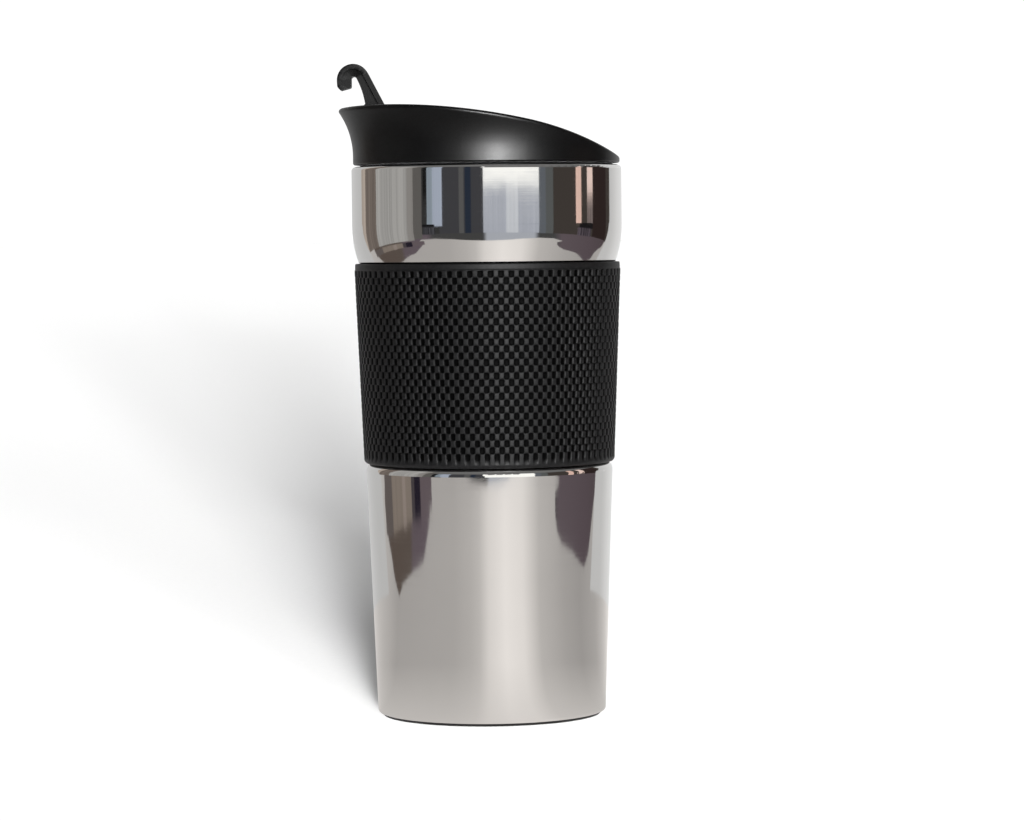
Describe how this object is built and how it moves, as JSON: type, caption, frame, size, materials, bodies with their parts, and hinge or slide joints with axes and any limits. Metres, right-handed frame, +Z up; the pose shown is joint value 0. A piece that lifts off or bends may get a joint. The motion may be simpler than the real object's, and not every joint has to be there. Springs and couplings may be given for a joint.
{
  "type": "insulated travel mug",
  "caption": "Double-wall steel travel mug with a black grip band and a screw-in lid whose flared lip carries a sip slot, shut by a hinged lever that hooks over the lip.",
  "frame": {"origin": "centre of the resting face of the base pad, on the mug's axis", "axes": "+Z up along the mug's axis, -X towards the drinking lip and the lever, +Y from there by the right hand, across the mug along the lever's hinge"},
  "size_m": [0.0838, 0.0846, 0.1931],
  "materials": {
    "polished_steel": "mirror-polished stainless steel",
    "liner_steel": "satin stainless steel, electropolished",
    "pin_steel": "ground stainless pin",
    "bottom_steel": "pressed stainless steel",
    "seal_bead": "fused sealing glass",
    "getter_metal": "sintered getter metal",
    "band_silicone": "soft matte silicone with a checker of small raised pads",
    "pad_rubber": "matte black rubber",
    "lid_plastic": "fine-grained satin black moulding",
    "plug_plastic": "plain black moulding",
    "lever_plastic": "satin black moulding",
    "seal_silicone": "grey food silicone"
  },
  "bodies": {
    "mug": {"outer_shell": "polished_steel", "inner_liner": "liner_steel", "outer_bottom": "bottom_steel", "vacuum_seal": "seal_bead", "getter": "getter_metal", "base_pad": "pad_rubber", "grip_band": "band_silicone"},
    "lid_rise": {"lid_gasket": "seal_silicone"},
    "lid": {"lid_cover": "lid_plastic", "lid_plug": "plug_plastic", "hinge_pin": "pin_steel"},
    "lever": {"lever": "lever_plastic", "sip_seal": "seal_silicone"}
  },
  "joints": [
    {"name": "lid_rise_slide", "type": "slide", "parent": "mug", "child": "lid_rise", "axis": [0, 0, 1], "range_m": [0, 0.0181]},
    {"name": "lid_turn", "type": "hinge", "parent": "lid_rise", "child": "lid", "pos_m": [0, 0, 0.1634], "axis": [0, 0, 1], "range_deg": [0, 540]},
    {"name": "lever_hinge", "type": "hinge", "parent": "lid", "child": "lever", "pos_m": [-0.031, 0, 0.176], "axis": [0, 1, 0], "range_deg": [-36, 12]}
  ],
  "couplings": [
    {"joint": "lid_rise_slide", "follows": "lid_turn", "m_per_rad": 0.0019099}
  ]
}
